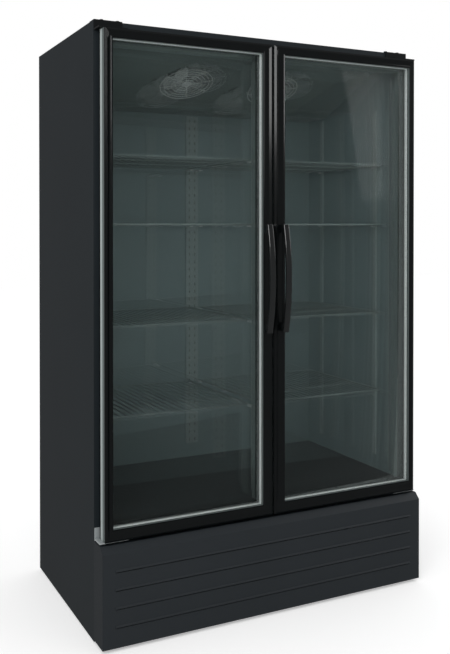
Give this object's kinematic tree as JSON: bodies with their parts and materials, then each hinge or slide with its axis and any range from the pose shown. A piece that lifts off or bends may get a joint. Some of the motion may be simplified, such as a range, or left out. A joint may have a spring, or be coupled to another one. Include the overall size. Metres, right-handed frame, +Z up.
{
  "type": "ice merchandiser freezer",
  "caption": "Tall glass-door ice merchandiser freezer with wire shelves, ceiling evaporator fans and a louvred base over its condensing unit.",
  "frame": {"origin": "on the floor, under the middle of the whole outline", "axes": "+Z up, the doors face -Y, +X to the right of someone facing the doors"},
  "size_m": [1.3, 0.83, 2.088],
  "materials": {
    "black_coated_steel": "fine textured charcoal powder coat",
    "grille_steel": "fine textured charcoal powder coat",
    "galvanised_steel": "galvanised sheet",
    "foam": "foamed in place",
    "liner": "satin grey coated liner sheet",
    "deck": "dark satin deck sheet",
    "breaker_strip": "satin grey breaker strip",
    "frame_steel": "galvanised rails",
    "feet": "zinc plated levelling feet",
    "black_plastic": "moulded black",
    "standards": "coated slotted strip",
    "zinc": "bright zinc plate",
    "led": "frosted lens",
    "evaporator_cover": "satin grey coated sheet",
    "fins": "bare aluminium fins",
    "guard_wire": "pale grey coated wire",
    "motor": "dark enamel",
    "fan_plastic": "moulded grey",
    "black_fins": "black coated fins",
    "fan_aluminium": "pressed aluminium",
    "compressor_paint": "gloss black enamel",
    "rubber": "matt black rubber",
    "copper": "drawn copper tube",
    "red_plastic": "moulded red rocker",
    "hinge_black": "black coated steel plate",
    "black_aluminium": "black anodised extrusion",
    "door_glass": "clear multi-pane glass",
    "bright_spacer": "bright aluminium spacer",
    "handle_plastic": "satin black moulded handle",
    "shelf_wire": "grey epoxy coated wire"
  },
  "bodies": {
    "cabinet": {"left_side_panel": "black_coated_steel", "right_side_panel": "black_coated_steel", "top_panel": "black_coated_steel", "back_panel": "galvanised_steel", "underfloor_panel": "galvanised_steel", "insulation": "foam", "side_liners": "liner", "ceiling_liner": "liner", "back_liner": "liner", "deck": "deck", "front_frame": "breaker_strip", "mullion": "breaker_strip", "base_frame": "frame_steel", "base_plate": "frame_steel", "leveling_feet": "feet", "front_grille": "grille_steel", "rear_grille": "galvanised_steel", "power_inlet": "black_plastic", "shelf_standards": "standards", "left_shelf_1": "shelf_wire", "left_shelf_2": "shelf_wire", "left_shelf_3": "shelf_wire", "left_shelf_4": "shelf_wire", "right_shelf_1": "shelf_wire", "right_shelf_2": "shelf_wire", "right_shelf_3": "shelf_wire", "right_shelf_4": "shelf_wire", "shelf_clips": "zinc", "led_strips": "led", "evaporator_cover": "evaporator_cover", "evaporator_coil": "fins", "fan_guards": "guard_wire", "evaporator_motors": "motor", "condenser_coil": "black_fins", "condenser_shroud": "black_coated_steel", "condenser_motor": "motor", "compressor": "compressor_paint", "compressor_mount": "rubber", "filter_drier": "copper", "refrigerant_lines": "copper", "condensate_pan": "black_plastic", "control_box": "galvanised_steel", "top_hinges": "hinge_black", "bottom_hinges": "zinc", "hinge_bolts": "hinge_black"},
    "left_door": {"left_door_frame": "black_aluminium", "left_door_glass": "door_glass", "left_door_spacer": "bright_spacer", "left_door_gasket": "rubber", "left_handle": "handle_plastic"},
    "right_door": {"right_door_frame": "black_aluminium", "right_door_glass": "door_glass", "right_door_spacer": "bright_spacer", "right_door_gasket": "rubber", "right_handle": "handle_plastic"},
    "left_evaporator_fan": {"left_evaporator_fan": "fan_plastic"},
    "right_evaporator_fan": {"right_evaporator_fan": "fan_plastic"},
    "condenser_fan": {"condenser_fan": "fan_aluminium"},
    "thermostat_knob": {"thermostat_knob": "black_plastic"},
    "light_switch": {"light_switch": "red_plastic"}
  },
  "joints": [
    {"name": "left_door_swing", "type": "hinge", "parent": "cabinet", "child": "left_door", "pos_m": [-0.623, -0.323, 1.2], "axis": [0, 0, -1], "range_deg": [0, 110], "stiffness_Nm_per_rad": 2, "springref_deg": -20.05},
    {"name": "right_door_swing", "type": "hinge", "parent": "cabinet", "child": "right_door", "pos_m": [0.623, -0.323, 1.2], "axis": [0, 0, 1], "range_deg": [0, 110], "stiffness_Nm_per_rad": 2, "springref_deg": -20.05},
    {"name": "left_evaporator_fan_spin", "type": "hinge", "parent": "cabinet", "child": "left_evaporator_fan", "pos_m": [-0.19, -0.0106, 1.95204], "axis": [0, 0.396, 0.9183], "continuous": true},
    {"name": "right_evaporator_fan_spin", "type": "hinge", "parent": "cabinet", "child": "right_evaporator_fan", "pos_m": [0.19, -0.0106, 1.95204], "axis": [0, 0.396, 0.9183], "continuous": true},
    {"name": "condenser_fan_spin", "type": "hinge", "parent": "cabinet", "child": "condenser_fan", "pos_m": [-0.1, -0.162, 0.157], "axis": [0, 1, 0], "continuous": true},
    {"name": "thermostat_turn", "type": "hinge", "parent": "cabinet", "child": "thermostat_knob", "pos_m": [0.5285, -0.24, 0.182], "axis": [0, -1, 0], "range_deg": [0, 270]},
    {"name": "light_switch_rock", "type": "hinge", "parent": "cabinet", "child": "light_switch", "pos_m": [0.5285, -0.237, 0.117], "axis": [-1, 0, 0], "range_deg": [0, 14]}
  ]
}
